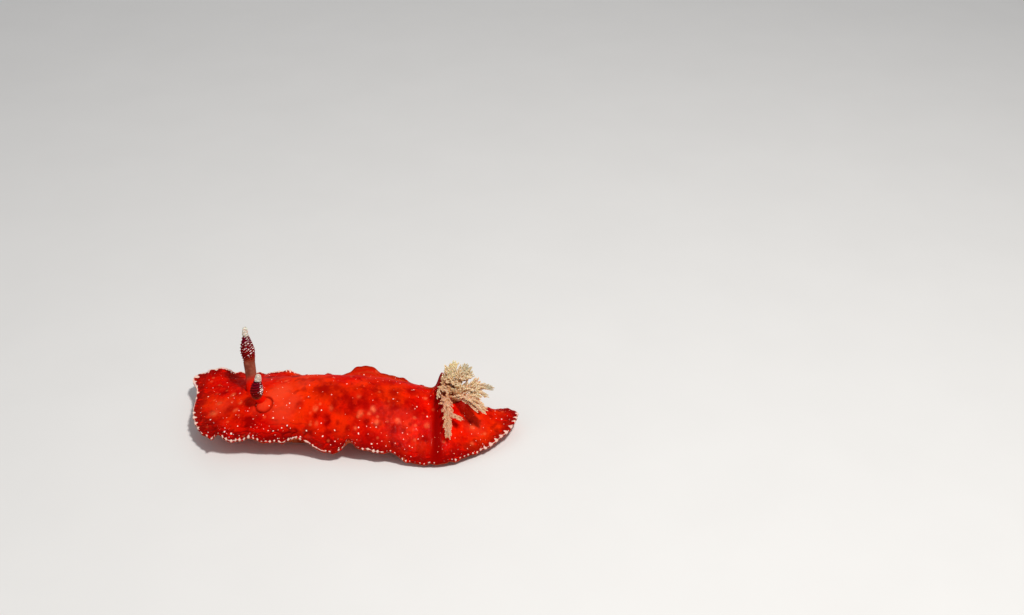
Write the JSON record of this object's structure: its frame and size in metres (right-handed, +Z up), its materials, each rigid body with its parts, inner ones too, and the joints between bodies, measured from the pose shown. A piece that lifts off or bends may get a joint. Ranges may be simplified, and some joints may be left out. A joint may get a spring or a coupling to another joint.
{
  "type": "dorid nudibranch sea slug model",
  "caption": "Still, life-size crawling dorid sea slug with a wavy mantle, club-shaped rhinophores and a feathery gill over a flat foot.",
  "frame": {"origin": "on the flat sole, under the middle of the body", "axes": "+X along the body from head to tail, +Y to the animal's right side, +Z up from the sole"},
  "size_m": [0.0613, 0.0248, 0.0173],
  "materials": {
    "mantle": "wet glossy red skin with darker blotches, white specks and a fine white margin",
    "flank": "wet orange-red skin",
    "foot": "wet smooth orange sole",
    "rhinophore": "glossy, brownish stalk, dark crimson leafy club and white tip",
    "gill": "translucent cream filaments"
  },
  "bodies": {
    "root": {"mantle_front": "mantle", "mantle_middle": "mantle", "mantle_rear": "mantle", "trunk": "flank", "head": "flank", "oral_tentacle_left": "flank", "oral_tentacle_right": "flank", "foot": "foot", "rhinophore_left": "rhinophore", "rhinophore_right": "rhinophore", "gill_plume_1": "gill", "gill_plume_2": "gill", "gill_plume_3": "gill", "gill_plume_4": "gill", "gill_plume_5": "gill", "gill_plume_6": "gill", "anal_papilla": "gill"}
  },
  "joints": []
}
